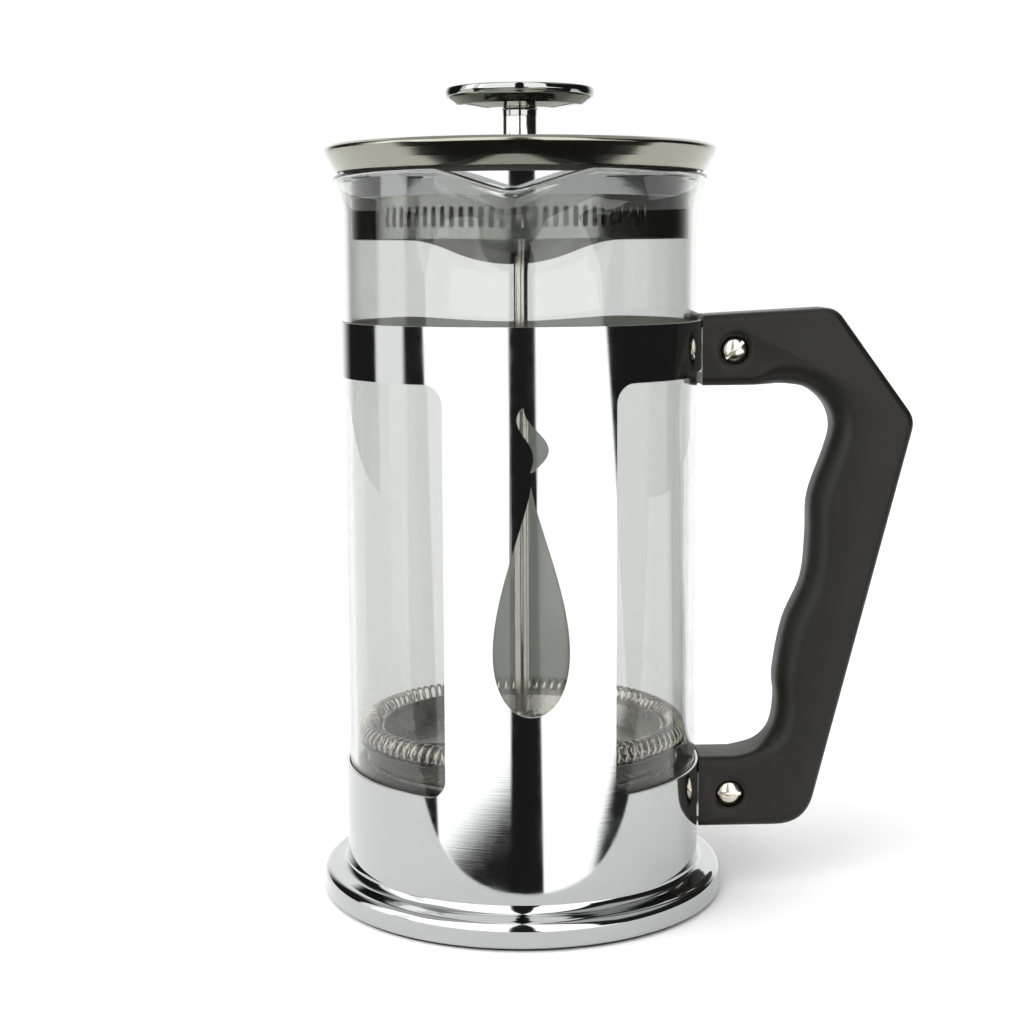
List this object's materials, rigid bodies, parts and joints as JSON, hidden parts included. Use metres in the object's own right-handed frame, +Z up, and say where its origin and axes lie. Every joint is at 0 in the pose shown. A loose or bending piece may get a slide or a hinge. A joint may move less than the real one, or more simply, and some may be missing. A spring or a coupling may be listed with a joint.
{
  "type": "french press",
  "caption": "Plunger coffee maker: a glass beaker with a pouring spout in a windowed steel frame, with a side handle, a strainer lid and a coil-sealed filter plunger.",
  "frame": {"origin": "centre of the foot pad's flat underside, on the axis of the beaker and plunger", "axes": "+Z up along the plunger's axis, +X towards the side handle, -Y towards the front strip and the pouring spout"},
  "size_m": [0.1623, 0.1131, 0.2203],
  "materials": {
    "polished_steel": "polished",
    "satin_steel": "satin",
    "screw_steel": "satin, turned",
    "spring_steel": "bright drawn wire",
    "mesh_steel": "fine woven wire",
    "black_plastic": "fine satin texture",
    "rubber_foot": "matt",
    "silicone": "matt, translucent white",
    "seal_rubber": "matt dark brown",
    "beaker_glass": "clear borosilicate"
  },
  "bodies": {
    "frame": {"foot_pad": "rubber_foot", "base_pan": "polished_steel", "frame_sleeve": "polished_steel", "upper_bracket": "polished_steel", "lower_bracket": "polished_steel", "handle": "black_plastic", "upper_screw": "screw_steel", "upper_barrel_nut": "screw_steel", "lower_screw": "screw_steel", "lower_barrel_nut": "screw_steel"},
    "cushion": {"beaker_cushion": "silicone"},
    "beaker": {"glass_beaker": "beaker_glass"},
    "lid_seal": {"lid_seal": "seal_rubber"},
    "lid": {"lid_cap": "polished_steel", "lid_collar": "polished_steel", "strainer_ring": "satin_steel", "bush_clip": "satin_steel"},
    "bush": {"rod_bush": "black_plastic"},
    "plunger": {"plunger_rod": "polished_steel", "knob": "polished_steel", "knob_stem": "polished_steel", "rod_collar": "satin_steel", "press_plate": "satin_steel", "seal_coil": "spring_steel", "mesh_screen": "mesh_steel", "cross_plate": "satin_steel", "plunger_boss": "satin_steel"}
  },
  "joints": [
    {"name": "beaker_turn", "type": "hinge", "parent": "frame", "child": "cushion", "pos_m": [0, 0, 0.0083], "axis": [0, 0, 1], "continuous": true},
    {"name": "beaker_lift", "type": "slide", "parent": "cushion", "child": "beaker", "axis": [0, 0, 1], "range_m": [0, 0.16]},
    {"name": "lid_lift", "type": "slide", "parent": "beaker", "child": "lid_seal", "axis": [0, 0, 1], "range_m": [0, 0.17]},
    {"name": "lid_turn", "type": "hinge", "parent": "lid_seal", "child": "lid", "pos_m": [0, 0, 0.1967], "axis": [0, 0, 1], "continuous": true},
    {"name": "plunger_turn", "type": "hinge", "parent": "lid", "child": "bush", "pos_m": [0, 0, 0.203], "axis": [0, 0, 1], "continuous": true},
    {"name": "plunger_press", "type": "slide", "parent": "bush", "child": "plunger", "axis": [0, 0, 1], "range_m": [0, 0.129]}
  ]
}
